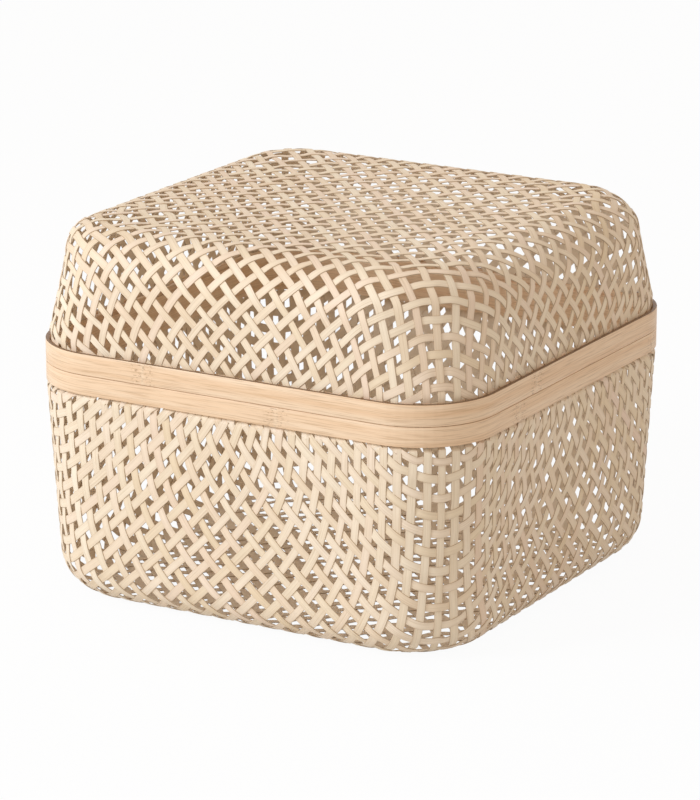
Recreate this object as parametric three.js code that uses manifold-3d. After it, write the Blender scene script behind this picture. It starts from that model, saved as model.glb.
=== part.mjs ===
// Square woven bamboo box with rounded edges and a lift-off lid.
// Millimetres, +Z up. The origin is at the centre of the floor, on the surface that the box stands on.

import Module from 'manifold-3d';
import * as THREE from 'three';
import { mergeVertices } from 'three/addons/utils/BufferGeometryUtils.js';

const wasm = await Module();
wasm.setup();

// Overall sizes: the side and the corner are taken over the outer bands
const BOX_SIDE = 300;
const BAND_CORNER_RADIUS = 49;
const BASE_HEIGHT = 146;
const LID_HEIGHT = 85.5;

// Woven mats: corner radii are in plan, at the rim, where the rounded edge starts, and on the closed face
const MAT_THICKNESS = 1.6;
const MAT_CORNER_RADIUS = 49.5;
const BASE_WALL_TAPER = 1.2;
const BASE_EDGE_RADIUS = 25;
const BASE_CORNER_RISE = 28;
const BASE_FOOT_CORNER_RADIUS = 55;
const BASE_FLOOR_CORNER_RADIUS = 33;
const BASE_WALL_BELLY = 1.6;
const BASE_CORNER_BELLY = 3.4;
const BASE_BELLY_TUCK = 6;
const LID_WALL_TAPER = 0.4;
const LID_EDGE_RADIUS = 32;
const LID_CORNER_RISE = 24;
const LID_SHOULDER_CORNER_RADIUS = 68;
const LID_CROWN_CORNER_RADIUS = 17;

// Openwork of the mats: a plain diagonal grid of square openings stands for the finer gaps between the strips.
// Openings reach these turns, in degrees, round the edges of a closed face and round the corners.
const OPENING_SIDE = 15;
const OPENING_BAR_WIDTH = 10;
const OPENING_MARGIN = 4;
const OPENING_EDGE_TURN = 45;
const OPENING_CORNER_TURN = 30;

// Bamboo bands and the collar that guides the lid
const OUTER_BAND_THICKNESS = 2.5;
const BASE_BAND_HEIGHT = 12;
const LID_BAND_HEIGHT = 13;
const INNER_BAND_THICKNESS = 2.4;
const INNER_BAND_HEIGHT = 12;
const COLLAR_THICKNESS = 2;
const COLLAR_DEPTH = 14;
const COLLAR_RISE = 9;

// Clearances: glue line between fixed neighbours, play of the collar, and the seam that the lid rests on
const GLUE_GAP = 0.3;
const COLLAR_PLAY = 0.5;
const PARTING_GAP = 0.3;

// Fineness of the curved surfaces
const CORNER_STEPS = 8;
const EDGE_STEPS = 8;

// Plan of the rim, from the outside in: the mat turns its corners a little wider than the outer bands
const bandOuter = { half: BOX_SIDE / 2, radius: BAND_CORNER_RADIUS };
const matOuter = { half: bandOuter.half - OUTER_BAND_THICKNESS - GLUE_GAP, radius: MAT_CORNER_RADIUS };
const innerBandOuter = inset(matOuter, MAT_THICKNESS + GLUE_GAP);
const collarOuter = inset(innerBandOuter, INNER_BAND_THICKNESS + COLLAR_PLAY);

// The two woven tubs, each measured from its closed face to its rim, with the mouth up
const baseTub = {
  height: BASE_HEIGHT,
  upright: Math.max(BASE_BAND_HEIGHT, INNER_BAND_HEIGHT, COLLAR_DEPTH),
  taper: BASE_WALL_TAPER,
  edgeRadius: BASE_EDGE_RADIUS,
  cornerRise: BASE_CORNER_RISE,
  wallCornerRadius: BASE_FOOT_CORNER_RADIUS,
  faceCornerRadius: BASE_FLOOR_CORNER_RADIUS,
  belly: BASE_WALL_BELLY,
  cornerBelly: BASE_CORNER_BELLY,
  tuck: BASE_BELLY_TUCK,
};
const lidTub = {
  height: LID_HEIGHT,
  upright: Math.max(LID_BAND_HEIGHT, INNER_BAND_HEIGHT),
  taper: LID_WALL_TAPER,
  edgeRadius: LID_EDGE_RADIUS,
  cornerRise: LID_CORNER_RISE,
  wallCornerRadius: LID_SHOULDER_CORNER_RADIUS,
  faceCornerRadius: LID_CROWN_CORNER_RADIUS,
  belly: 0,
  cornerBelly: 0,
  tuck: 0,
};

// Finishes: pale split strips, and honey-coloured bands
const stripFinish = new THREE.MeshStandardMaterial({ color: '#e8d3b3', roughness: 0.62, metalness: 0 });
const bandFinish = new THREE.MeshStandardMaterial({ color: '#dcb887', roughness: 0.5, metalness: 0 });

function inset(plan, distance) {
  return { half: plan.half - distance, radius: plan.radius - distance };
}

// Distance from the axis to a rounded square's corner, along the diagonal
function diagonalReach({ half, radius }) {
  return half * Math.SQRT2 - radius * (Math.SQRT2 - 1);
}

// Outline of a square with round corners, as points in one turn
function roundedSquare({ half, radius }) {
  const outline = new THREE.Path();
  for (let quarter = 0; quarter < 4; quarter++) {
    const start = quarter * Math.PI / 2;
    const diagonal = start + Math.PI / 4;
    const reach = (half - radius) * Math.SQRT2;
    outline.absarc(reach * Math.cos(diagonal), reach * Math.sin(diagonal), radius, start, start + Math.PI / 2);
  }
  return outline.getPoints(CORNER_STEPS / 2);
}

// Inward share of a quarter ellipse at a height above the closed face, from 1 on that face to 0 at its rise
function ellipseShare(height, rise) {
  const fall = THREE.MathUtils.clamp(1 - height / rise, 0, 1);
  return 1 - Math.sqrt(1 - fall * fall);
}

// Levels of one face of a tub, from the rim down to the closed face; depth is how far inside the outer face it lies.
// Below the upright rim the wall swells by its belly, over the height of its tuck.
function tubLevels(tub, rimPlan, depth) {
  const rim = inset(rimPlan, depth);
  const wall = { half: rim.half - tub.taper, radius: tub.wallCornerRadius - depth };
  const edgeRadius = tub.edgeRadius - depth;
  const cornerRise = tub.cornerRise - depth;
  const face = { half: wall.half - edgeRadius, radius: tub.faceCornerRadius };
  const cornerDraw = diagonalReach(wall) - diagonalReach(face);
  const upright = tub.height - tub.upright;
  const rise = Math.max(edgeRadius, cornerRise);
  const wallShare = (above, foot) => Math.min((upright - depth - above) / (upright - depth - foot), 1);
  const levels = [{ ...rim, height: tub.height }, { ...rim, height: upright }];
  const heights = tub.tuck > 0 ? [upright - depth - tub.tuck] : [];
  for (let step = 0; step <= EDGE_STEPS; step++) {
    heights.push(rise * (1 - Math.sin(step / EDGE_STEPS * Math.PI / 2)));
  }
  for (const above of heights) {
    const straightHalf = THREE.MathUtils.lerp(
      rim.half + tub.belly,
      wall.half,
      wallShare(above, edgeRadius),
    );
    const straightReach = THREE.MathUtils.lerp(
      diagonalReach(rim) + tub.cornerBelly,
      diagonalReach(wall),
      wallShare(above, cornerRise),
    );
    const half = straightHalf - edgeRadius * ellipseShare(above, edgeRadius);
    const reach = straightReach - cornerDraw * ellipseShare(above, cornerRise);
    const radius = (half * Math.SQRT2 - reach) / (Math.SQRT2 - 1);
    levels.push({ half, radius, height: depth + above });
  }
  return levels;
}

// Closed thin tub with its mouth up: up the outer face, down the inner face, and a floor on each
function tubGeometry(tub, rimPlan) {
  const outer = tubLevels(tub, rimPlan, 0);
  const inner = tubLevels(tub, rimPlan, MAT_THICKNESS);
  const levels = [...outer.reverse(), ...inner];
  const rings = levels.map(level => roundedSquare(level));
  const size = rings[0].length;
  const positions = [];
  const triangles = [];
  rings.forEach((ring, level) => {
    ring.forEach(point => positions.push(point.x, point.y, levels[level].height));
  });
  for (let level = 0; level + 1 < rings.length; level++) {
    for (let side = 0; side < size; side++) {
      const near = level * size + side;
      const next = level * size + (side + 1) % size;
      triangles.push(near, next, next + size, near, next + size, near + size);
    }
  }
  const lastRing = (rings.length - 1) * size;
  for (const [a, b, c] of THREE.ShapeUtils.triangulateShape(rings[0], [])) {
    triangles.push(a, c, b);
  }
  for (const [a, b, c] of THREE.ShapeUtils.triangulateShape(rings.at(-1), [])) {
    triangles.push(lastRing + a, lastRing + b, lastRing + c);
  }
  const geometry = new THREE.BufferGeometry();
  geometry.setAttribute('position', new THREE.Float32BufferAttribute(positions, 3));
  geometry.setIndex(triangles);
  geometry.computeVertexNormals();
  return geometry;
}

// Closed mesh as a body that can be cut
function toSolid(geometry) {
  const bare = geometry.clone().deleteAttribute('normal').deleteAttribute('uv');
  const { index, attributes } = mergeVertices(bare);
  const triVerts = Uint32Array.from(index.array);
  return new wasm.Manifold(new wasm.Mesh({ numProp: 3, vertProperties: attributes.position.array, triVerts }));
}

function toGeometry(solid) {
  const { vertProperties, triVerts } = solid.getMesh();
  const geometry = new THREE.BufferGeometry();
  geometry.setAttribute('position', new THREE.BufferAttribute(vertProperties, 3));
  geometry.setIndex(new THREE.BufferAttribute(triVerts, 1));
  geometry.computeVertexNormals();
  return geometry;
}

// Centres of a diagonal grid of openings inside a rectangle, with a crossing of two bars at its middle
function openingCentres(halfWidth, halfHeight) {
  const step = (OPENING_SIDE + OPENING_BAR_WIDTH) / Math.SQRT2;
  const count = length => Math.floor((length - OPENING_SIDE / Math.SQRT2) / step);
  const centres = [];
  for (let row = -count(halfHeight); row <= count(halfHeight); row++) {
    for (let column = -count(halfWidth); column <= count(halfWidth); column++) {
      if ((row + column) % 2 !== 0) {
        centres.push({ across: column * step, along: row * step });
      }
    }
  }
  return centres;
}

// Tub with its openwork: openings go through the closed face, and straight through both pairs of walls
function openTub(tub, rimPlan) {
  const edgeTurn = THREE.MathUtils.degToRad(OPENING_EDGE_TURN);
  const cornerTurn = THREE.MathUtils.degToRad(OPENING_CORNER_TURN);
  const wallHalf = rimPlan.half - tub.taper;
  const faceHalf = wallHalf - tub.edgeRadius * (1 - Math.sin(edgeTurn));
  const wallWidth = wallHalf - tub.wallCornerRadius * (1 - Math.sin(cornerTurn));
  const foot = tub.edgeRadius * (1 - Math.cos(edgeTurn));
  const head = tub.height - tub.upright - tub.tuck - OPENING_MARGIN;
  const through = 2 * (BOX_SIDE + tub.height);
  const [x, y, z] = [0, 1, 2].map(axis => new THREE.Vector3().setComponent(axis, 1));
  const cuts = [
    { centres: openingCentres(faceHalf, faceHalf), middle: 0, across: x, along: y },
    { centres: openingCentres(wallWidth, (head - foot) / 2), middle: (head + foot) / 2, across: y, along: z },
    { centres: openingCentres(wallWidth, (head - foot) / 2), middle: (head + foot) / 2, across: x, along: z },
  ];
  let body = toSolid(tubGeometry(tub, rimPlan));
  for (const { centres, middle, across, along } of cuts) {
    const frame = new THREE.Matrix4().makeBasis(across, along, across.clone().cross(along));
    for (const centre of centres) {
      const prism = new THREE.BoxGeometry(OPENING_SIDE, OPENING_SIDE, through);
      prism.rotateZ(Math.PI / 4).translate(centre.across, middle + centre.along, 0).applyMatrix4(frame);
      body = body.subtract(toSolid(prism));
    }
  }
  return toGeometry(body);
}

// Flat strip bent into a hoop, standing on its edge
function hoopGeometry(outerPlan, thickness, height) {
  const section = new THREE.Shape(roundedSquare(outerPlan));
  section.holes.push(new THREE.Path(roundedSquare(inset(outerPlan, thickness))));
  return new THREE.ExtrudeGeometry(section, { depth: height, bevelEnabled: false });
}

function piece(name, geometry, finish, height) {
  const mesh = new THREE.Mesh(geometry, finish);
  mesh.name = name;
  mesh.position.z = height;
  return mesh;
}

// Base: the pressed mat, the two bands that hold its edge, and the collar
function makeBase() {
  const base = new THREE.Group();
  const outerBand = hoopGeometry(bandOuter, OUTER_BAND_THICKNESS, BASE_BAND_HEIGHT);
  const innerBand = hoopGeometry(innerBandOuter, INNER_BAND_THICKNESS, INNER_BAND_HEIGHT);
  const collar = hoopGeometry(collarOuter, COLLAR_THICKNESS, COLLAR_DEPTH + COLLAR_RISE);
  base.add(piece('base_woven_shell', openTub(baseTub, matOuter), stripFinish, 0));
  base.add(piece('base_outer_band', outerBand, bandFinish, BASE_HEIGHT - BASE_BAND_HEIGHT));
  base.add(piece('base_inner_band', innerBand, bandFinish, BASE_HEIGHT - INNER_BAND_HEIGHT));
  base.add(piece('lid_guide_collar', collar, bandFinish, BASE_HEIGHT - COLLAR_DEPTH));
  return base;
}

// Lid: a shallower tub turned mouth down, with its own two bands at the rim
function makeLid() {
  const lid = new THREE.Group();
  const outerBand = hoopGeometry(bandOuter, OUTER_BAND_THICKNESS, LID_BAND_HEIGHT);
  const innerBand = hoopGeometry(innerBandOuter, INNER_BAND_THICKNESS, INNER_BAND_HEIGHT);
  const crown = piece('lid_woven_shell', openTub(lidTub, matOuter), stripFinish, LID_HEIGHT);
  crown.rotation.x = Math.PI;
  lid.add(crown);
  lid.add(piece('lid_outer_band', outerBand, bandFinish, 0));
  lid.add(piece('lid_inner_band', innerBand, bandFinish, 0));
  lid.position.z = BASE_HEIGHT + PARTING_GAP;
  return lid;
}

const box = new THREE.Group();
box.add(makeBase());
box.add(makeLid());

export default box;
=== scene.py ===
"""Woven bamboo box with a lift-off lid: its strips, its bands, the studio and the camera.

Each mat is woven flat, strip by strip, and pressed over its form. The bands are laths bent into hoops.
Sizes are in millimetres until a mesh is made, and in metres from there on.
"""

import logging
import math
from dataclasses import dataclass, field
from enum import Enum

import bpy
import numpy as np
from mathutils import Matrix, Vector


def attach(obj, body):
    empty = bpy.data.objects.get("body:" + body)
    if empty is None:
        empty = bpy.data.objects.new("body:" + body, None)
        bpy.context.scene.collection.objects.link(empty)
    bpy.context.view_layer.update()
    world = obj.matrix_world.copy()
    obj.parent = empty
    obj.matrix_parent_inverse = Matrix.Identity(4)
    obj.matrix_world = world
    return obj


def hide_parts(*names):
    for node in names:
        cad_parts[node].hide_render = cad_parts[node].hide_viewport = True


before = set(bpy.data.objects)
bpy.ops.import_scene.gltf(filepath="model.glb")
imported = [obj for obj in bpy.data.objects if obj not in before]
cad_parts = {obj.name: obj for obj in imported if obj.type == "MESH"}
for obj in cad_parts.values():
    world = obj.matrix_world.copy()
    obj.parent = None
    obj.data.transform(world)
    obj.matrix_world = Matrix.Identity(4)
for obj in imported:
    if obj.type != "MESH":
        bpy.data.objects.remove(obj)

LOG = logging.getLogger("woven_box")
MM = 0.001
ROOT2 = math.sqrt(2.0)
QUARTER_TURN = math.pi / 2
EIGHTH_TURN = math.pi / 4
TABLE_POINTS = 6001
PHOTO_SIZE = (700, 800)

# Least radius or width, in millimetres, that a length is divided by.
TINY = 1e-6

# Profile of a bevel that follows a round arc.
ROUND_PROFILE = 0.5

# Sockets of a Mix node that carry colours.
MIX_A, MIX_B, MIX_RESULT = 6, 7, 2

Array = np.ndarray
Material = bpy.types.Material
Socket = bpy.types.NodeSocket
Tree = bpy.types.NodeTree


class Body(Enum):
    """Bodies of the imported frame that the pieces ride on."""

    BASE = "base"
    LID = "lid"


class Slot(Enum):
    """Material slots of the record."""

    STRIPS = "woven_strips"
    BANDS = "bands"


class Family(Enum):
    """The two directions in which the strips of a mat run, along its two diagonals."""

    RISING = "rising"
    FALLING = "falling"


class Facing(Enum):
    """Which way the closed face of a pressed mat looks: its walls rise from it, or hang from it."""

    DOWN = 1
    UP = -1


def linear(hex_colour: str) -> tuple[float, float, float, float]:
    """Turns an sRGB hex colour into the linear colour that shaders take.

    Args:
        hex_colour: colour such as "#f0dcc0".

    Returns:
        Red, green and blue from 0 to 1, and an alpha of 1.
    """
    channels = [int(hex_colour[i:i + 2], 16) / 255 for i in (1, 3, 5)]
    red, green, blue = (c / 12.92 if c <= 0.04045 else ((c + 0.055) / 1.055) ** 2.4 for c in channels)
    return red, green, blue, 1.0


def add_node(tree: Tree, kind: str, inputs: dict | None = None, **settings: object) -> bpy.types.Node:
    """Adds one node, with its settings and its links.

    Args:
        tree: node tree that the node goes into.
        kind: Blender's name of the node type.
        inputs: value, or output socket to link from, for each input by name or number.
        **settings: the node's own settings.

    Returns:
        The new node.
    """
    node = tree.nodes.new(kind)
    for name, value in settings.items():
        setattr(node, name, value)
    for socket, value in (inputs or {}).items():
        if isinstance(value, Socket):
            tree.links.new(value, node.inputs[socket])
        else:
            node.inputs[socket].default_value = value
    return node


def new_material(name: str) -> Material:
    """Makes an empty node material.

    Args:
        name: name of the material.

    Returns:
        The new material.
    """
    material = bpy.data.materials.new(name)
    material.use_nodes = True
    material.node_tree.nodes.clear()
    return material


def deselect_all() -> None:
    """Leaves nothing selected, so that an operator acts only on what comes next."""
    bpy.ops.object.select_all(action="DESELECT")


def hang(obj: bpy.types.Object, finish: Material, body: Body, node: str) -> None:
    """Gives a piece its finish, hangs it on its body and reports it.

    Args:
        obj: the piece.
        finish: material of the piece.
        body: body that it rides on.
        node: CAD node that it stands for.
    """
    obj.data.materials.append(finish)
    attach(obj, body.value)
    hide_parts(node)
    LOG.info("%s: %d faces", obj.name, len(obj.data.polygons))


def smoothstep(value: Array) -> Array:
    """Eases a share from 0 to 1 with level ends."""
    share = np.clip(value, 0.0, 1.0)
    return share * share * (3.0 - 2.0 * share)


@dataclass(frozen=True)
class Plan:
    """Square with round corners, seen from above, in millimetres."""

    half: float
    corner: float

    def reach(self) -> float:
        """Gives the distance from the axis to the middle of a corner."""
        return self.half * ROOT2 - self.corner * (ROOT2 - 1.0)

    def half_run(self) -> float:
        """Gives the way round the outline from the middle of a side to the middle of a corner."""
        return self.half - self.corner * (1.0 - EIGHTH_TURN)

    def inset(self, depth: float) -> "Plan":
        """Gives the plan that lies a depth inside this one."""
        return Plan(self.half - depth, self.corner - depth)

    def depth(self, x: float, y: float) -> float:
        """Measures how far a point lies inside the outline.

        Args:
            x: place across, in millimetres.
            y: place in depth, in millimetres.

        Returns:
            Distance to the outline in millimetres, below 0 outside it.
        """
        straight = self.half - self.corner
        over_x, over_y = abs(x) - straight, abs(y) - straight
        if min(over_x, over_y) > 0.0:
            return self.corner - math.hypot(over_x, over_y)
        return self.corner - max(over_x, over_y)

    def along(self, x: float, y: float) -> float:
        """Gives the way round the outline, from the middle of the +X side, to the point nearest to x, y.

        Args:
            x: place across, in millimetres.
            y: place in depth, in millimetres.

        Returns:
            Distance in millimetres, from 0 to the length of the outline.
        """
        side = round(math.atan2(y, x) / QUARTER_TURN) % 4
        turn = side * QUARTER_TURN
        out = x * math.cos(turn) + y * math.sin(turn)
        across = y * math.cos(turn) - x * math.sin(turn)
        straight = self.half - self.corner
        travel = abs(across)
        if travel > straight:
            travel = straight + self.corner * math.atan2(travel - straight, out - straight)
        quarter = 2.0 * self.half_run()
        return (side * quarter + math.copysign(travel, across)) % (4.0 * quarter)


@dataclass(frozen=True)
class PressedForm:
    """Surface in the middle of one pressed mat, measured from its closed face, in millimetres.

    Attributes:
        height: rise from the closed face to the edge of the rim.
        upright: rise at which the wall meets the upright rim.
        taper: how far the wall draws in between the rim and the rounded edge.
        corner_rise: rise over which a corner rounds into the closed face.
        corner_hug: how far the rim's corners press out against the band.
        tuck: rise over which the swelling dies out under the rim.
        lean: how far the closed face has shifted along X and Y.
        lean_height: rise over which that shift dies out.
        squaring: distance in from the edge of the closed face at which its outlines are square.
    """

    rim: Plan
    height: float
    upright: float
    taper: float
    edge_radius: float
    corner_rise: float
    wall_corner: float
    face_corner: float
    corner_belly: float
    belly: float = 0.0
    corner_hug: float = 0.0
    tuck: float = 3.0
    lean: tuple[float, float] = (0.0, 0.0)
    lean_height: float = 18.0
    squaring: float = 60.0

    def wall(self) -> Plan:
        """Gives the plan where the wall meets the rounded edge."""
        return Plan(self.rim.half - self.taper, self.wall_corner)

    def face(self) -> Plan:
        """Gives the plan of the flat closed face."""
        return Plan(self.rim.half - self.taper - self.edge_radius, self.face_corner)

    def rim_level(self) -> float:
        """Gives the way from the middle of the closed face to the rim, over the middle of a side."""
        return self.face().half + self.edge_radius * (QUARTER_TURN - 1.0) + self.height

    def rings(self, level: Array) -> tuple[Array, Array, Array]:
        """Finds the outline that lies at each level.

        Args:
            level: distances from the middle of the closed face, over the middle of a side.

        Returns:
            Half side, corner radius and rise above the closed face of each outline.
        """
        flat = self.face().half
        turn = np.clip((level - flat) / self.edge_radius, 0.0, QUARTER_TURN)
        wall = np.clip(level - flat - self.edge_radius * QUARTER_TURN, 0.0, None)
        rise = self.edge_radius * (1.0 - np.cos(turn)) + wall
        climb = np.clip(wall / (self.upright - self.edge_radius), 0.0, 1.0)
        fullness = climb * smoothstep((self.upright - rise) / self.tuck)
        half = np.minimum(level, flat) + self.edge_radius * np.sin(turn)
        half = half + self.taper * climb + self.belly * fullness
        corner_climb = np.clip((rise - self.corner_rise) / (self.upright - self.corner_rise), 0.0, 1.0)
        foot = self.wall().reach()
        straight = foot + (self.rim.reach() + self.corner_hug - foot) * corner_climb
        fall = np.clip(1.0 - rise / self.corner_rise, 0.0, 1.0)
        draw = foot - self.face().reach()
        reach = straight - draw * (1.0 - np.sqrt(1.0 - fall * fall)) + self.corner_belly * fullness
        corner = (half * ROOT2 - reach) / (ROOT2 - 1.0)
        flat_corner = self.face_corner * smoothstep(1.0 - (flat - level) / self.squaring)
        return half, np.where(level < flat, flat_corner, corner), rise

    def corner_lengths(self, level: Array) -> Array:
        """Measures the way from the middle of the closed face to each level, over a corner.

        Args:
            level: rising levels, from the middle outward.

        Returns:
            Length of the way to each level.
        """
        half, corner, rise = self.rings(level)
        reach = half * ROOT2 - corner * (ROOT2 - 1.0)
        steps = np.hypot(np.diff(reach), np.diff(rise))
        return np.concatenate(([0.0], np.cumsum(steps))) + reach[0]

    def place(self, share: Array, level: Array) -> Array:
        """Puts points on one side of the surface, the side that looks along +X.

        Args:
            share: place along the side, from -1 at one corner to 1 at the next.
            level: distance from the middle of the closed face.

        Returns:
            Points as rows of out, across and rise.
        """
        half, corner, rise = self.rings(level)
        straight = half - corner
        travel = np.abs(share) * (straight + corner * EIGHTH_TURN)
        turn = np.clip((travel - straight) / np.maximum(corner, TINY), 0.0, EIGHTH_TURN)
        out = straight + corner * np.cos(turn)
        across = np.minimum(travel, straight) + corner * np.sin(turn)
        return np.stack((out, np.copysign(across, share), rise), axis=1)


@dataclass
class PressedNet:
    """How a flat mat of crossing strips lies on a pressed form, in millimetres.

    On the closed face the strips lie as they were woven. Down a side they turn towards the upright, and
    over a corner one family runs straight down while the other goes round level. The way of a strip is
    counted from the line on the mat that ends up over a corner.

    Attributes:
        corner_drop: how far the rows that go round a corner sag there.
        face_pitch: how far down a strip gets, to each length of it, once it runs upright.
        corner_pitch: share of its length that a strip needs over a corner, past the closed face.
        softness: length over which a strip turns from the diagonal to the upright.
        lead: how far before the corner's line it is half turned.
        draw_start: way at which a strip is half drawn from the diagonal rate of fall to the upright one.
        drop_start: where the sag starts over a corner, counted from the edge of the closed face.
        drop_reach: distance from a corner at which the sag has died out.
        table_reach: first and last way in the tables, in half runs of the rim.
        corner_reach: last level in the table of a corner, in levels of the rim.
        least_slip: slip of a corner that is as good as none.
        table: for each way, depth, travel across, half width of the side, and slip and drop of the corner.
    """

    form: PressedForm
    pitch: float
    corner_drop: float
    face_pitch: float
    corner_pitch: float
    softness: float
    lead: float
    draw_start: float = -40.0
    draw_softness: float = 13.0
    drop_start: float = -60.0
    drop_span: float = 70.0
    drop_reach: float = 45.0
    table_reach: tuple[float, float] = (-2.0, 4.0)
    corner_reach: float = 2.5
    least_slip: float = 0.01
    side: float = field(init=False)
    table: dict[str, Array] = field(init=False)

    def __post_init__(self) -> None:
        """Works out how far a strip travels sideways and down as it turns, and how corners slip."""
        self.side = self.form.rim.half_run()
        first, last = self.table_reach
        way = np.linspace(first * self.side, last * self.side, TABLE_POINTS)
        drawn = 1.0 / (1.0 + np.exp(-(way - self.draw_start) / self.draw_softness))
        down = 1.0 / ROOT2 + (self.face_pitch - 1.0 / ROOT2) * drawn
        steps = (down[1:] + down[:-1]) / 2.0 * np.diff(way)
        depth = np.concatenate(([0.0], np.cumsum(steps))) + way[0] / ROOT2
        across = -self.softness / ROOT2 * np.logaddexp(0.0, -(way + self.lead) / self.softness)
        far_corner = np.interp(-ROOT2 * self.side, way, across)
        strip = way + ROOT2 * self.side
        crown = self.form.face().reach()
        length = np.minimum(strip, crown) + self.corner_pitch * np.maximum(strip - crown, 0.0)
        level = np.linspace(0.0, self.corner_reach * self.form.rim_level(), TABLE_POINTS)
        slip = np.interp(length, self.form.corner_lengths(level), level) - self.side - depth
        sag = smoothstep((strip - crown - self.drop_start) / self.drop_span)
        self.table = {
            "way": way,
            "depth": depth,
            "across": across,
            "width": across - far_corner,
            "slip": np.maximum(slip, self.least_slip),
            "drop": self.corner_drop * sag,
        }

    def locate(self, u: Array, v: Array) -> tuple[Array, Array]:
        """Finds where points of the flat mat come to lie.

        Args:
            u: place across the strips of one family, in millimetres from the mat's middle.
            v: place across the strips of the other family.

        Returns:
            Points as rows of x, y and rise above the closed face, and the level of each.
        """
        flat_x, flat_y = (u + v) / ROOT2, (u - v) / ROOT2
        turn = np.round(np.arctan2(flat_y, flat_x) / QUARTER_TURN) * QUARTER_TURN
        cos, sin = np.cos(turn), np.sin(turn)
        out, lateral = flat_x * cos + flat_y * sin, flat_y * cos - flat_x * sin
        way, depth, across = self.table["way"], self.table["depth"], self.table["across"]
        left = (out - lateral) / ROOT2 - ROOT2 * self.side
        right = (out + lateral) / ROOT2 - ROOT2 * self.side
        shift = np.interp(right, way, across) - np.interp(left, way, across)
        down = np.interp(right, way, depth) + np.interp(left, way, depth) + self.side
        width = np.interp(down, depth, self.table["width"])
        share = np.clip(shift / np.maximum(width, TINY), -1.0, 1.0)
        slip = np.interp(down, depth, self.table["slip"])
        drop = np.interp(down, depth, self.table["drop"])
        from_corner = np.maximum(width - np.abs(shift), 0.0)
        level = self.side + down + np.maximum(slip - from_corner / 2.0, 0.0) ** 2 / slip
        level = level + drop * smoothstep(1.0 - from_corner / self.drop_reach)
        level = np.maximum(level, 0.0)
        side = self.form.place(share, level)
        standing = smoothstep(1.0 - side[:, 2] / self.form.lean_height)
        x = side[:, 0] * cos - side[:, 1] * sin + self.form.lean[0] * standing
        y = side[:, 0] * sin + side[:, 1] * cos + self.form.lean[1] * standing
        return np.stack((x, y, side[:, 2]), axis=1), level


@dataclass(frozen=True)
class Grain:
    """Streaks or clouds of one size in bamboo.

    Attributes:
        start: height of a streak at which its tint begins to show.
        full: height at which the tint shows most.
        strength: share of the tint where it shows most.
        detail: octaves of finer streaks.
        roughness: share that each octave keeps of the one before.
    """

    length_mm: float
    spacing_mm: float
    start: float
    full: float
    strength: float
    detail: float = 3.0
    roughness: float = 0.6

    def draw(self, tree: Tree, along: Socket) -> tuple[Socket, Socket]:
        """Draws the streaks along a piece.

        Args:
            tree: node tree of the finish.
            along: place on the piece, in metres along and across it.

        Returns:
            Height of the streaks, from 0 to 1, and share of their tint.
        """
        scale = (1.0 / (self.length_mm * MM), 1.0 / (self.spacing_mm * MM), 1.0)
        place = add_node(tree, "ShaderNodeMapping", {"Vector": along, "Scale": scale}).outputs["Vector"]
        height = add_node(
            tree, "ShaderNodeTexNoise",
            {"Vector": place, "Scale": 1.0, "Detail": self.detail, "Roughness": self.roughness},
        ).outputs["Fac"]
        share = add_node(
            tree, "ShaderNodeMapRange",
            {"Value": height, "From Min": self.start, "From Max": self.full, "To Max": self.strength},
        ).outputs["Result"]
        return height, share


@dataclass(frozen=True)
class BambooFinish:
    """What the finishes share: tints laid over pale bamboo, grain that can be felt, and a satin gloss."""

    name: str
    pale: str
    roughness: float
    ior: float = 1.5
    relief_mm: float = 0.15
    relief_strength: float = 0.4

    def tints(self, tree: Tree) -> tuple[Socket, list[tuple[Socket, str]]]:
        """Draws what lies over the pale bamboo, which each finish does in its own way.

        Args:
            tree: node tree of the finish.

        Returns:
            Height of the grain, and the share and sRGB colour of each tint, the lowest first.
        """
        raise NotImplementedError

    def build(self) -> Material:
        """Makes the material.

        Returns:
            Material that reads the UV maps and the attributes of the pieces that it is made for.
        """
        material = new_material(self.name)
        tree = material.node_tree
        height, layers = self.tints(tree)
        colour = linear(self.pale)
        for share, tint in layers:
            inputs = {"Factor": share, MIX_A: colour, MIX_B: linear(tint)}
            colour = add_node(tree, "ShaderNodeMix", inputs, data_type="RGBA").outputs[MIX_RESULT]
        bump = add_node(
            tree, "ShaderNodeBump",
            {"Height": height, "Strength": self.relief_strength, "Distance": self.relief_mm * MM},
        ).outputs["Normal"]
        shader = add_node(
            tree, "ShaderNodeBsdfPrincipled",
            {"Base Color": colour, "Roughness": self.roughness, "IOR": self.ior, "Normal": bump},
        ).outputs["BSDF"]
        add_node(tree, "ShaderNodeOutputMaterial", {"Surface": shader})
        return material


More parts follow.
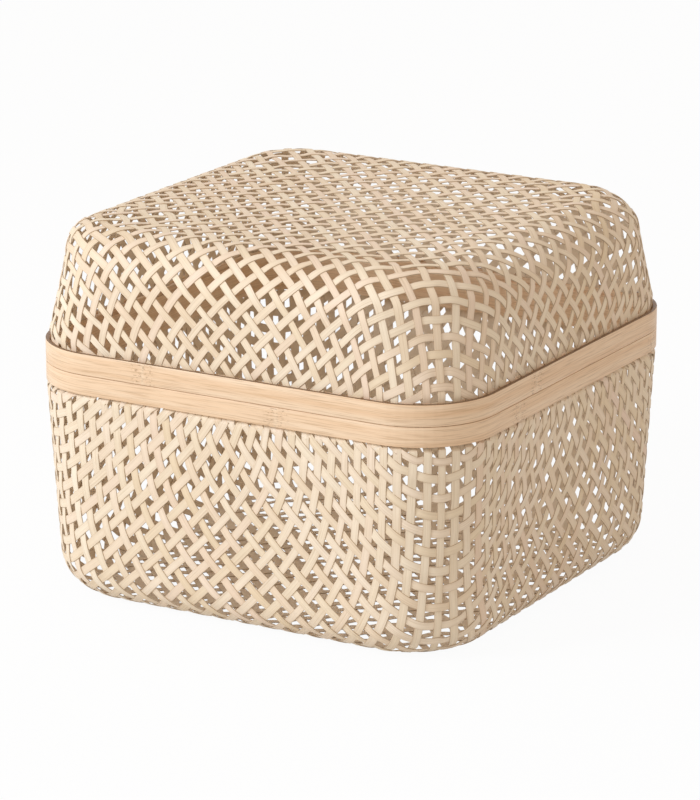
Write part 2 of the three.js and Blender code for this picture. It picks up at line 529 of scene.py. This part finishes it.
@dataclass(frozen=True)
class SplitBamboo(BambooFinish):
    """Finish of the strips: bamboo split into flat splints, scraped and left bare.

    It gives the eye a pale, satin face with fine fibres along the strip, browner split edges that are
    darkened further as painted shade where strips cross, a browner back, and strips that differ in tone.
    """

    name: str = "split_bamboo_strips"
    pale: str = "#f4e5cd"
    roughness: float = 0.55
    honey: str = "#e4cca8"
    blush: str = "#edd3bd"
    fibre: str = "#b59468"
    # Split edge: bamboo's own browner edge, darkened further as painted shade where strips pass over one
    # another.
    split_edge_and_painted_shade: str = "#9c7d57"
    back: str = "#ebd9bf"
    # Real fibres are too fine to show in the render, so these are drawn as coarse as it needs.
    fibres: Grain = Grain(length_mm=40.0, spacing_mm=0.8, start=0.52, full=0.8, strength=0.5)
    clouds: Grain = Grain(30.0, 30.0, start=0.4, full=0.75, strength=0.35, detail=2.0, roughness=0.5)

    def tints(self, tree: Tree) -> tuple[Socket, list[tuple[Socket, str]]]:
        """Draws fibres and clouds, and takes each strip's own tone and its edges from its points.

        Args:
            tree: node tree of the finish.

        Returns:
            Height of the fibres, and the share and sRGB colour of each tint.
        """
        along = add_node(tree, "ShaderNodeUVMap", uv_map="strip").outputs["UV"]
        tone, blush, edge, back = (
            add_node(tree, "ShaderNodeAttribute", attribute_name=name).outputs["Fac"]
            for name in ("tone", "blush", "edge", "back")
        )
        height, line = self.fibres.draw(tree, along)
        patch = self.clouds.draw(tree, along)[1]
        return height, [
            (tone, self.honey),
            (blush, self.blush),
            (patch, self.honey),
            (line, self.fibre),
            # Painted shade: the split-edge tint darkens the strips' sides past their own brown.
            (edge, self.split_edge_and_painted_shade),
            (back, self.back),
        ]


@dataclass(frozen=True)
class BambooLath(BambooFinish):
    """Finish of the bands: bamboo lath, planed and left with a thin satin varnish.

    It gives the eye pinkish-beige wood with fine streaks that run with the band, a pale ring among short
    dark dashes where each joint of the cane was, and a dark top edge where it lies open: browner sawn end
    grain with painted shade of the crevice between the weave and the band.
    """

    name: str = "planed_bamboo_lath"
    pale: str = "#efd3b2"
    roughness: float = 0.45
    warm: str = "#e6c29b"
    streak: str = "#b08a60"
    dash: str = "#9a7450"
    ring: str = "#f4e2c6"
    # Dark top edge: sawn end grain a little browner, darkened further as painted shade of the crevice
    # behind it.
    sawn_edge_and_painted_shade: str = "#7d5c3c"
    # Real fibres are too fine to show in the render, so the streaks are drawn as coarse as it needs.
    streaks: Grain = Grain(length_mm=30.0, spacing_mm=0.75, start=0.48, full=0.76, strength=0.75)
    warmth: Grain = Grain(length_mm=150.0, spacing_mm=5.0, start=0.35, full=0.65, strength=1.0)
    dashes: Grain = Grain(length_mm=2.6, spacing_mm=0.9, start=0.54, full=0.62, strength=0.6)
    joint_core_mm: float = 5.0
    joint_reach_mm: float = 10.0
    ring_reach_mm: float = 2.0
    ring_strength: float = 0.2

    def tints(self, tree: Tree) -> tuple[Socket, list[tuple[Socket, str]]]:
        """Draws the grain and the joints of the cane, and takes the dark top edge, sawn end grain with
        painted shade, from the band's faces.

        Args:
            tree: node tree of the finish.

        Returns:
            Height of the streaks, and the share and sRGB colour of each tint.
        """
        along = add_node(tree, "ShaderNodeUVMap", uv_map="lath").outputs["UV"]
        height, line = self.streaks.draw(tree, along)
        warm = self.warmth.draw(tree, along)[1]
        flecks = self.dashes.draw(tree, along)[1]
        distance = self.joint_distance(tree)
        joint, ring = (
            add_node(
                tree, "ShaderNodeMapRange",
                {
                    "Value": distance, "From Min": core * MM, "From Max": reach * MM,
                    "To Min": most, "To Max": 0.0,
                },
            ).outputs["Result"]
            for core, reach, most in (
                (self.joint_core_mm, self.joint_reach_mm, 1.0),
                (0.0, self.ring_reach_mm, self.ring_strength),
            )
        )
        dashes = add_node(tree, "ShaderNodeMath", {0: flecks, 1: joint}, operation="MULTIPLY").outputs[0]
        # Painted shade on the top faces of an open band, over the sawn end grain's own brown.
        sawn_and_painted_shade = add_node(tree, "ShaderNodeAttribute", attribute_name="sawn_and_painted_shade").outputs["Fac"]
        return height, [
            (warm, self.warm),
            (line, self.streak),
            (dashes, self.dash),
            (ring, self.ring),
            (sawn_and_painted_shade, self.sawn_edge_and_painted_shade),
        ]

    @staticmethod
    def joint_distance(tree: Tree) -> Socket:
        """Works out how far a place on the lath is from the nearest joint of the cane.

        Args:
            tree: node tree of the finish.

        Returns:
            Distance in metres. The UV map "joints" holds the way from one joint, and their spacing.
        """
        place = add_node(tree, "ShaderNodeUVMap", uv_map="joints").outputs["UV"]
        way, spacing = add_node(tree, "ShaderNodeSeparateXYZ", {"Vector": place}).outputs[:2]
        cells = add_node(tree, "ShaderNodeMath", {0: way, 1: spacing}, operation="DIVIDE").outputs[0]
        beside = add_node(tree, "ShaderNodeMath", {0: cells, 1: 0.5}, operation="PINGPONG").outputs[0]
        return add_node(tree, "ShaderNodeMath", {0: beside, 1: spacing}, operation="MULTIPLY").outputs[0]


@dataclass(frozen=True)
class StripSection:
    """Outline across one strip: flat on its back, a little crowned on its face, with eased edges.

    Attributes:
        crown: how far the middle of its face stands out.
        edge: share of the edge tint, the split edge's own brown with painted shade, at each point of the
            outline.
        back: share of the back's tint at each point.
    """

    width: float
    thickness: float
    crown: float = 0.05
    ease: float = 0.22
    # The edge values carry the split-edge tint, which holds painted shade along the strips' sides.
    edge: tuple[float, ...] = (1.0, 0.12, 0.0, 0.12, 1.0, 1.0, 1.0)
    back: tuple[float, ...] = (0.0, 0.0, 0.0, 0.0, 0.0, 1.0, 1.0)

    def outline(self) -> Array:
        """Works out the points of the outline.

        Returns:
            Points as rows of side and height, from the right edge over the face to the back.
        """
        half, thick = self.width / 2.0, self.thickness / 2.0
        right = [(half, thick - self.crown - self.ease), (half - self.ease, thick - self.crown)]
        face = right + [(0.0, thick)] + [(-x, z) for x, z in reversed(right)]
        return np.array(face + [(-half, -thick), (half, -thick)])


@dataclass
class StripBundle:
    """Points, faces and values of many strips, gathered for one mesh."""

    points: list[Array] = field(default_factory=list)
    faces: list[tuple[int, ...]] = field(default_factory=list)
    uvs: list[Array] = field(default_factory=list)
    values: dict[str, list[Array]] = field(default_factory=dict)
    used: int = 0

    def add(
        self, rings: Array, across: Array, start: float, values: dict[str, Array],
    ) -> None:
        """Adds one strip and closes its ends.

        Args:
            rings: points of the strip, by ring along it and by place round its section, in millimetres.
            across: place of each point of the section across the strip.
            start: where the strip starts on its UV map, in metres.
            values: named values of each point of a ring.
        """
        rows, sides = rings.shape[:2]
        steps = np.linalg.norm(np.diff(rings.mean(axis=1), axis=0), axis=1)
        length = np.concatenate(([0.0], np.cumsum(steps))) * MM + start
        place = across * MM + start
        grids = np.meshgrid(np.arange(rows - 1), np.arange(sides), indexing="ij")
        row, side = (grid.ravel() for grid in grids)
        after = (side + 1) % sides
        rows_of = np.stack((row, row, row + 1, row + 1), axis=1)
        sides_of = np.stack((side, after, after, side), axis=1)
        ends = [(0, tuple(range(sides - 1, -1, -1))), (rows - 1, tuple(range(sides)))]
        self.faces += [tuple(quad) for quad in (rows_of * sides + sides_of + self.used).tolist()]
        self.faces += [tuple(self.used + end * sides + i for i in order) for end, order in ends]
        self.uvs.append(np.stack((length[rows_of], place[sides_of]), axis=2).reshape(-1, 2))
        self.uvs += [np.array([(length[end], place[i]) for i in order]) for end, order in ends]
        self.points.append(rings.reshape(-1, 3))
        for name, ring_values in values.items():
            self.values.setdefault(name, []).append(np.tile(ring_values, rows))
        self.used += rows * sides

    def mesh(self, name: str) -> bpy.types.Mesh:
        """Makes one mesh of all the strips.

        Args:
            name: name of the mesh.

        Returns:
            The mesh, in metres, with its UV map "strip" and its values as attributes.
        """
        mesh = bpy.data.meshes.new(name)
        mesh.from_pydata((np.concatenate(self.points) * MM).tolist(), [], self.faces)
        mesh.uv_layers.new(name="strip").data.foreach_set("uv", np.concatenate(self.uvs).ravel())
        for value, parts in self.values.items():
            attribute = mesh.attributes.new(value, "FLOAT", "POINT")
            attribute.data.foreach_set("value", np.concatenate(parts))
        return mesh


@dataclass
class WovenMat:
    """One mat of plain-woven strips, pressed to its form; each family of strips is one piece.

    Attributes:
        closed_face: height of the closed face.
        first_over: family that lies on top where the two middle strips cross.
        honey_weight: weight of the darker tones among the strips.
        pattern_length: length of the fibres' pattern, in metres, from which each strip takes its own part.
        play: gap between two strips where they cross.
        wander_margin: how far past a strip's ends the wander is drawn.
        rim_grip: share by which the bands press the mat flat.
        rim_reach: distance from the rim's edge at which they begin to.
        bend: how sharply a strip bends between over and under; more is sharper.
        overlength: length laid out on either side of the middle, in levels of the rim.
        fewest_rings: rings below which a strip only grazes the rim and is left out.
        probe: distance to the points beside a place that give the strip's direction there.
    """

    name: str
    node: str
    body: Body
    facing: Facing
    closed_face: float
    net: PressedNet
    seed: int
    strip_width: float
    first_over: Family
    honey_weight: float
    pale_weight: float = 2.4
    blush_mean: float = 0.15
    blush_spread: float = 0.3
    pattern_length: float = 40.0
    width_spread: float = 0.26
    strip_thickness: float = 0.55
    play: float = 0.04
    wander: float = 0.5
    wander_length: float = 40.0
    wander_margin: float = 60.0
    tilt_degrees: float = 2.5
    rim_grip: float = 0.25
    rim_reach: float = 15.0
    rim_blend: float = 4.0
    bend: float = 1.6
    overlength: float = 1.25
    steps_per_crossing: int = 5
    fewest_rings: int = 6
    probe: float = 0.4
    smooth_degrees: float = 35.0
    pieces: list[bpy.types.Object] = field(default_factory=list)

    def build(self) -> None:
        """Weaves both families of strips."""
        rng = np.random.default_rng(self.seed)
        for family in Family:
            self.pieces.append(self.weave(family, rng))

    def weave(self, family: Family, rng: np.random.Generator) -> bpy.types.Object:
        """Makes all strips of one family as one piece.

        Args:
            family: which of the two directions.
            rng: source of the small differences between strips.

        Returns:
            The piece, at its place in the frame.
        """
        bundle = StripBundle()
        count = int(self.net.form.rim_level() * ROOT2 / self.net.pitch)
        for index in range(-count, count + 1):
            width = self.strip_width + rng.normal(0.0, self.width_spread)
            section = StripSection(width, self.strip_thickness)
            tone = rng.beta(self.honey_weight, self.pale_weight)
            blush = rng.normal(self.blush_mean, self.blush_spread)
            start = rng.uniform(0.0, self.pattern_length)
            rings = self.strip_rings(family, index, section, rng)
            if rings is None:
                continue
            rings[..., 2] = self.closed_face + self.facing.value * rings[..., 2]
            points = np.ones(len(section.edge))
            values = {"edge": np.array(section.edge), "back": np.array(section.back)}
            values |= {"tone": tone * points, "blush": np.clip(blush, 0.0, 1.0) * points}
            bundle.add(rings, section.outline()[:, 0], start, values)
        return self.piece(bundle.mesh(f"{self.name}_{family.value}"))

    def strip_rings(
        self, family: Family, index: int, section: StripSection, rng: np.random.Generator,
    ) -> Array | None:
        """Sweeps one strip's section from rim to rim, over and under the strips that it crosses.

        Args:
            family: direction of the strip.
            index: number of the strip, counted from the one through the middle.
            section: the strip's section.
            rng: source of the small sideways wander and of the tilt.

        Returns:
            Points by ring and by place round the section, or None where the strip misses the form.
        """
        pitch, rim_level = self.net.pitch, self.net.form.rim_level()
        span = self.overlength * rim_level
        along = np.arange(-span, span, pitch / self.steps_per_crossing)
        knots = np.arange(-span - self.wander_margin, span + self.wander_margin, self.wander_length)
        across = index * pitch + np.interp(along, knots, rng.normal(0.0, self.wander, len(knots)))
        tilts = rng.normal(0.0, math.radians(self.tilt_degrees), int(2.0 * span / pitch) + 2)
        level = self.locate(family, across, along)[1]
        inside = np.flatnonzero(level < rim_level)
        if len(inside) < self.fewest_rings:
            return None
        kept = slice(inside[0], inside[-1] + 1)
        along, across, level = along[kept], across[kept], level[kept]
        centre, flat_side, flat_normal = self.directions(family, across, along)
        between = np.sin(math.pi * along / pitch) ** 2
        tilt = (tilts[np.floor((along + span) / pitch).astype(int)] * between)[:, None]
        side = flat_side * np.cos(tilt) + flat_normal * np.sin(tilt)
        normal = flat_normal * np.cos(tilt) - flat_side * np.sin(tilt)
        gripped = smoothstep((level - rim_level + self.rim_reach) / self.rim_blend)
        grip = (1.0 - self.rim_grip * gripped)[:, None]
        lift = np.tanh(self.bend * np.cos(math.pi * along / pitch)) / math.tanh(self.bend)
        over = (1.0 if family is self.first_over else -1.0) * (-1.0) ** index
        height = (over * lift * (self.strip_thickness + self.play) / 2.0)[:, None]
        centre = centre + normal * grip * height
        shape = section.outline()
        wide = shape[None, :, :1] * side[:, None, :]
        high = shape[None, :, 1:] * (normal * grip)[:, None, :]
        return centre[:, None, :] + wide + high

    def directions(
        self, family: Family, across: Array, along: Array,
    ) -> tuple[Array, Array, Array]:
        """Finds the middle line of a strip on the form, and which way its side and its face look.

        Args:
            family: direction of the strip.
            across: places across the strips of its family.
            along: places along the strip.

        Returns:
            Points of the middle line, and the directions to the side and outward at each.
        """
        step = self.probe
        centre = self.locate(family, across, along)[0]
        ahead, behind = (self.locate(family, across, along + move)[0] for move in (step, -step))
        beside, opposite = (self.locate(family, across + move, along)[0] for move in (step, -step))
        tangent = ahead - behind
        outward = 1.0 if family is Family.RISING else -1.0
        normal = np.cross(beside - opposite, tangent) * outward
        tangent /= np.linalg.norm(tangent, axis=1, keepdims=True)
        normal /= np.linalg.norm(normal, axis=1, keepdims=True)
        return centre, np.cross(normal, tangent), normal

    def locate(
        self, family: Family, across: Array, along: Array,
    ) -> tuple[Array, Array]:
        """Asks the net for a strip's places, in the order that it takes them."""
        return self.net.locate(across, along) if family is Family.RISING else self.net.locate(along, across)

    def piece(self, mesh: bpy.types.Mesh) -> bpy.types.Object:
        """Makes the object of a mesh, with its faces outward and smooth along the strips.

        Args:
            mesh: mesh of one family of strips.

        Returns:
            The new object.
        """
        obj = bpy.data.objects.new(mesh.name, mesh)
        bpy.context.scene.collection.objects.link(obj)
        deselect_all()
        obj.select_set(True)
        bpy.context.view_layer.objects.active = obj
        bpy.ops.object.mode_set(mode="EDIT")
        bpy.ops.mesh.select_all(action="SELECT")
        bpy.ops.mesh.normals_make_consistent(inside=False)
        bpy.ops.object.mode_set(mode="OBJECT")
        bpy.ops.object.shade_smooth_by_angle(angle=math.radians(self.smooth_degrees))
        return obj

    def dress(self, finish: Material) -> None:
        """Gives the strips their finish and hangs them on the body."""
        for obj in self.pieces:
            hang(obj, finish, self.body, self.node)


@dataclass
class BentBand:
    """Flat lath bent into a hoop with round corners.

    Attributes:
        height: width of the lath, which stands on edge.
        first_joint: way round the hoop to one joint of the cane.
        open_top: whether its sawn upper edge lies open; if so it gets the dark tint of end grain and
            painted shade.
        upward: upward part of a face's normal from which the face counts as the upper edge.
        grain_shift: shift of the grain to each millimetre of height, so that no two bands show the same.
    """

    name: str
    node: str
    body: Body
    outer: Plan
    thickness: float
    bottom: float
    height: float
    first_joint: float
    joint_spacing: float
    open_top: bool = False
    eased: float = 0.3
    ease_steps: int = 2
    corner_steps: int = 14
    sharp_degrees: float = 60.0
    smooth_degrees: float = 40.0
    upward: float = 0.7
    grain_shift: float = 0.37
    obj: bpy.types.Object | None = None

    def build(self) -> None:
        """Models the hoop: a plate with round corners, opened in the middle and drawn up to its height."""
        deselect_all()
        place = (0.0, 0.0, self.bottom * MM)
        bpy.ops.mesh.primitive_plane_add(size=2.0 * self.outer.half * MM, location=place)
        self.obj = bpy.context.object
        self.obj.name = self.obj.data.name = self.name
        bpy.ops.object.transform_apply(location=True, rotation=True, scale=True)
        bpy.ops.object.mode_set(mode="EDIT")
        bpy.ops.mesh.select_all(action="SELECT")
        bpy.ops.mesh.bevel(
            offset=self.outer.corner * MM, segments=self.corner_steps, affect="VERTICES",
            profile=ROUND_PROFILE,
        )
        bpy.ops.mesh.select_all(action="SELECT")
        bpy.ops.mesh.inset(thickness=self.thickness * MM, use_even_offset=True)
        bpy.ops.mesh.delete(type="FACE")
        bpy.ops.mesh.select_all(action="SELECT")
        bpy.ops.mesh.extrude_region_move(TRANSFORM_OT_translate={"value": (0.0, 0.0, self.height * MM)})
        bpy.ops.mesh.select_all(action="SELECT")
        bpy.ops.mesh.normals_make_consistent(inside=False)
        bpy.ops.mesh.select_all(action="DESELECT")
        bpy.ops.mesh.edges_select_sharp(sharpness=math.radians(self.sharp_degrees))
        bpy.ops.mesh.bevel(
            offset=self.eased * MM, segments=self.ease_steps, affect="EDGES", profile=ROUND_PROFILE,
        )
        bpy.ops.object.mode_set(mode="OBJECT")
        bpy.ops.object.shade_smooth_by_angle(angle=math.radians(self.smooth_degrees))

    def unroll(self) -> None:
        """Lays the UV maps along the lath, in metres, and marks the sawn faces on top.

        Lays the UV maps along the lath, in metres, and marks the faces on top, which get the dark tint of
        sawn end grain and painted shade.
        of the cane, and how far apart the joints are. A face that crosses the start of the outline counts
        on past its end.
        """
        mesh = self.obj.data
        (mesh.uv_layers.active or mesh.uv_layers.new()).name = "lath"
        mesh.uv_layers.new(name="joints")
        lath, joints = mesh.uv_layers["lath"].data, mesh.uv_layers["joints"].data
        # Top faces of an open band get the dark tint: sawn end grain with painted shade of the crevice.
        sawn_and_painted_shade = [float(self.open_top and polygon.normal.z > self.upward) for polygon in mesh.polygons]
        mesh.attributes.new("sawn_and_painted_shade", "FLOAT", "FACE").data.foreach_set("value", sawn_and_painted_shade)
        circuit = 8.0 * self.outer.half_run()
        for polygon in mesh.polygons:
            first = None
            for loop in polygon.loop_indices:
                place = mesh.vertices[mesh.loops[loop].vertex_index].co / MM
                inward = min(max(self.outer.depth(place.x, place.y), 0.0), self.thickness)
                way = self.outer.along(place.x, place.y)
                first = way if first is None else first
                way += circuit * round((first - way) / circuit)
                across = place.z + inward + self.grain_shift * self.bottom
                lath[loop].uv = (way * MM, across * MM)
                joints[loop].uv = ((way - self.first_joint) * MM, self.joint_spacing * MM)

    def dress(self, finish: Material) -> None:
        """Gives the band its finish and hangs it on the body."""
        self.unroll()
        hang(self.obj, finish, self.body, self.node)


@dataclass
class Studio:
    """Pale floor, soft light and the camera at the photograph's view.

    Attributes:
        azimuth: direction that the camera looks from, in degrees; 0 looks along +Y.
        target_pixel: where that point lies in the photograph.
        focal_pixels: focal length, in pixels of the photograph.
        floor_white: share of plain white that the camera sees in the floor.
    """

    azimuth: float = -60.01
    elevation: float = 15.48
    distance: float = 2.45155
    target: Vector = field(default_factory=lambda: Vector((0.0, 0.0, 0.14624)))
    target_pixel: tuple[float, float] = (355.63, 339.64)
    focal_pixels: float = 4000.0
    sensor_mm: float = 36.0
    lamp_place: tuple[float, float, float] = (-1.88, 1.31, 1.47)
    lamp_size: float = 1.0
    lamp_power: float = 47.0
    lamp_colour: str = "#e6f1ff"
    ambient: float = 0.69
    ambient_colour: str = "#fff4ea"
    floor_size: float = 12.0
    floor_paper: str = "#e9e8e6"
    floor_white: float = 0.95

    def build(self) -> None:
        """Makes the camera, the floor, the lamp and the world."""
        self.make_camera()
        self.make_floor()
        self.make_lamp()
        self.make_world()

    def make_camera(self) -> None:
        """Puts the camera where the photograph was taken from, aimed so that no shift is needed."""
        azimuth, elevation = math.radians(self.azimuth), math.radians(self.elevation)
        level = math.cos(elevation)
        back = Vector((math.sin(azimuth) * level, -math.cos(azimuth) * level, math.sin(elevation)))
        right = Vector((math.cos(azimuth), math.sin(azimuth), 0.0))
        up = back.cross(right)
        scale = self.distance / self.focal_pixels
        aim = self.target - right * (self.target_pixel[0] - PHOTO_SIZE[0] / 2) * scale
        aim = aim - up * (PHOTO_SIZE[1] / 2 - self.target_pixel[1]) * scale
        deselect_all()
        bpy.ops.object.camera_add(location=self.target + back * self.distance)
        camera = bpy.context.object
        camera.name = "photo_camera"
        camera.rotation_mode = "QUATERNION"
        camera.rotation_quaternion = (aim - camera.location).to_track_quat("-Z", "Y")
        camera.data.sensor_width = self.sensor_mm
        camera.data.lens = self.focal_pixels / max(PHOTO_SIZE) * self.sensor_mm
        bpy.context.scene.camera = camera

    def make_floor(self) -> None:
        """Lays the floor, white to the camera and with the box's soft shadow on it."""
        deselect_all()
        bpy.ops.mesh.primitive_plane_add(size=self.floor_size, location=(0.0, 0.0, 0.0))
        floor = bpy.context.object
        floor.name = "studio_floor"
        material = new_material("white_paper_floor")
        tree = material.node_tree
        seen = self.seen_rays(tree)
        share = add_node(
            tree, "ShaderNodeMath", {0: seen, 1: self.floor_white}, operation="MULTIPLY",
        ).outputs[0]
        paper = add_node(tree, "ShaderNodeBsdfDiffuse", {"Color": linear(self.floor_paper)}).outputs["BSDF"]
        white = add_node(tree, "ShaderNodeEmission", {"Strength": 1.0}).outputs["Emission"]
        mixed = add_node(tree, "ShaderNodeMixShader", {"Fac": share, 1: paper, 2: white}).outputs["Shader"]
        add_node(tree, "ShaderNodeOutputMaterial", {"Surface": mixed})
        floor.data.materials.append(material)

    def make_lamp(self) -> None:
        """Hangs the softbox, which looks at the middle of the box."""
        deselect_all()
        bpy.ops.object.light_add(type="AREA", location=self.lamp_place)
        lamp = bpy.context.object
        lamp.name = "key_softbox"
        lamp.rotation_mode = "QUATERNION"
        lamp.rotation_quaternion = (self.target - Vector(self.lamp_place)).to_track_quat("-Z", "Y")
        lamp.data.size = self.lamp_size
        lamp.data.energy = self.lamp_power
        lamp.data.color = linear(self.lamp_colour)[:3]

    def make_world(self) -> None:
        """Surrounds the box with even light, and with white where the camera looks past the floor."""
        world = bpy.context.scene.world or bpy.data.worlds.new("studio_world")
        bpy.context.scene.world = world
        world.use_nodes = True
        tree = world.node_tree
        tree.nodes.clear()
        seen = self.seen_rays(tree)
        soft = add_node(
            tree, "ShaderNodeBackground",
            {"Color": linear(self.ambient_colour), "Strength": self.ambient},
        ).outputs["Background"]
        white = add_node(tree, "ShaderNodeBackground", {"Color": linear("#ffffff")}).outputs["Background"]
        light = add_node(tree, "ShaderNodeMixShader", {"Fac": seen, 1: soft, 2: white}).outputs["Shader"]
        add_node(tree, "ShaderNodeOutputWorld", {"Surface": light})

    @staticmethod
    def seen_rays(tree: Tree) -> Socket:
        """Picks out the rays by which the camera sees, straight or by way of gloss or glass.

        Args:
            tree: node tree of the floor or of the world.

        Returns:
            1 for such a ray, and 0 for one that only carries light.
        """
        paths = add_node(tree, "ShaderNodeLightPath").outputs
        seen = paths["Is Camera Ray"]
        for kind in ("Is Glossy Ray", "Is Transmission Ray"):
            inputs = {0: seen, 1: paths[kind]}
            seen = add_node(tree, "ShaderNodeMath", inputs, operation="MAXIMUM").outputs[0]
        return seen


@dataclass(frozen=True)
class BoxSizes:
    """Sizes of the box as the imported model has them, and where the strips lie in a mat, in millimetres.

    Attributes:
        wall_depth: how far the middle of the strips lies inside the outer face of a wall.
        face_depth: how far it lies inside the outer face of a closed face.
    """

    side: float = 300.0
    band_corner: float = 49.0
    base_height: float = 146.0
    lid_height: float = 85.5
    parting: float = 0.3
    outer_band: float = 2.5
    glue: float = 0.3
    mat: float = 1.6
    mat_corner: float = 49.5
    inner_band: float = 2.4
    inner_band_height: float = 12.0
    base_band_height: float = 12.0
    lid_band_height: float = 13.0
    collar: float = 2.0
    collar_play: float = 0.5
    collar_depth: float = 14.0
    collar_rise: float = 9.0
    wall_depth: float = 1.1
    face_depth: float = 0.65

    def band_plan(self) -> Plan:
        """Gives the plan of the outer bands' outer face."""
        return Plan(self.side / 2, self.band_corner)

    def mat_plan(self) -> Plan:
        """Gives the plan of a mat's outer face at its rim."""
        return Plan(self.side / 2 - self.outer_band - self.glue, self.mat_corner)

    def inner_plan(self) -> Plan:
        """Gives the plan of the inner bands' outer face."""
        return self.mat_plan().inset(self.mat + self.glue)

    def collar_plan(self) -> Plan:
        """Gives the plan of the collar's outer face."""
        return self.inner_plan().inset(self.inner_band + self.collar_play)


def base_mat(sizes: BoxSizes) -> WovenMat:
    """Sets out the base's mat, a tub with a slight belly.

    Args:
        sizes: sizes of the box.

    Returns:
        The mat, not yet woven.
    """
    form = PressedForm(
        rim=sizes.mat_plan().inset(sizes.wall_depth),
        height=sizes.base_height - sizes.face_depth,
        upright=sizes.base_height - sizes.base_band_height - sizes.face_depth,
        taper=1.2,
        edge_radius=25.0 - sizes.wall_depth,
        corner_rise=28.0 - sizes.wall_depth,
        wall_corner=51.0 - sizes.wall_depth,
        face_corner=33.0,
        corner_belly=4.6,
        belly=2.6,
    )
    net = PressedNet(
        form, pitch=11.3, corner_drop=3.8, face_pitch=0.93, corner_pitch=1.0, softness=18.0, lead=9.0,
    )
    return WovenMat(
        "base_strips", "base_woven_shell", Body.BASE, Facing.DOWN, sizes.face_depth, net,
        seed=11, strip_width=5.2, first_over=Family.RISING, honey_weight=1.6,
    )


def lid_mat(sizes: BoxSizes) -> WovenMat:
    """Sets out the lid's mat, a shallow crown that leans a little.

    Args:
        sizes: sizes of the box.

    Returns:
        The mat, not yet woven.
    """
    form = PressedForm(
        rim=sizes.mat_plan().inset(sizes.wall_depth),
        height=sizes.lid_height - sizes.face_depth,
        upright=sizes.lid_height - sizes.lid_band_height - sizes.face_depth,
        taper=0.4,
        edge_radius=32.0 - sizes.wall_depth,
        corner_rise=24.0 - sizes.wall_depth,
        wall_corner=68.0 - sizes.wall_depth,
        face_corner=17.0,
        corner_belly=2.0,
        corner_hug=1.6,
        tuck=6.0,
        lean=(-1.6, 2.8),
    )
    net = PressedNet(
        form, pitch=11.0, corner_drop=10.8, face_pitch=0.92, corner_pitch=0.88, softness=23.0, lead=17.0,
    )
    top = sizes.base_height + sizes.parting + sizes.lid_height
    return WovenMat(
        "lid_strips", "lid_woven_shell", Body.LID, Facing.UP, top - sizes.face_depth, net,
        seed=23, strip_width=4.7, first_over=Family.FALLING, honey_weight=2.3,
    )


def make_bands(sizes: BoxSizes) -> list[BentBand]:
    """Sets out the bands and the collar.

    Args:
        sizes: sizes of the box.

    Returns:
        The hoops, not yet modelled.
    """
    seam = sizes.base_height
    lid = seam + sizes.parting
    outer = {"outer": sizes.band_plan(), "thickness": sizes.outer_band}
    inner = {
        "outer": sizes.inner_plan(), "thickness": sizes.inner_band, "height": sizes.inner_band_height,
    }
    return [
        BentBand(
            "base_rim_band", "base_outer_band", Body.BASE, **outer, height=sizes.base_band_height,
            bottom=seam - sizes.base_band_height, first_joint=591.0, joint_spacing=177.0,
        ),
        BentBand(
            "base_lining_band", "base_inner_band", Body.BASE, **inner,
            bottom=seam - sizes.inner_band_height, first_joint=60.0, joint_spacing=260.0,
        ),
        BentBand(
            "lid_collar", "lid_guide_collar", Body.BASE, sizes.collar_plan(), sizes.collar,
            bottom=seam - sizes.collar_depth, height=sizes.collar_depth + sizes.collar_rise,
            first_joint=130.0, joint_spacing=240.0,
        ),
        BentBand(
            "lid_rim_band", "lid_outer_band", Body.LID, **outer, height=sizes.lid_band_height,
            bottom=lid, first_joint=499.5, joint_spacing=289.5, open_top=True,
        ),
        BentBand(
            "lid_lining_band", "lid_inner_band", Body.LID, **inner,
            bottom=lid, first_joint=20.0, joint_spacing=250.0,
        ),
    ]


def main() -> None:
    """Builds the studio and every piece."""
    logging.basicConfig(level=logging.INFO, format="%(name)s: %(message)s")
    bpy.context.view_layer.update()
    bpy.context.scene.view_settings.view_transform = "Standard"
    sizes = BoxSizes()
    Studio().build()
    strips, lath = SplitBamboo().build(), BambooLath().build()
    for mat in (base_mat(sizes), lid_mat(sizes)):
        mat.build()
        mat.dress(strips)
    for band in make_bands(sizes):
        band.build()
        band.dress(lath)


if __name__ == "__main__":
    main()
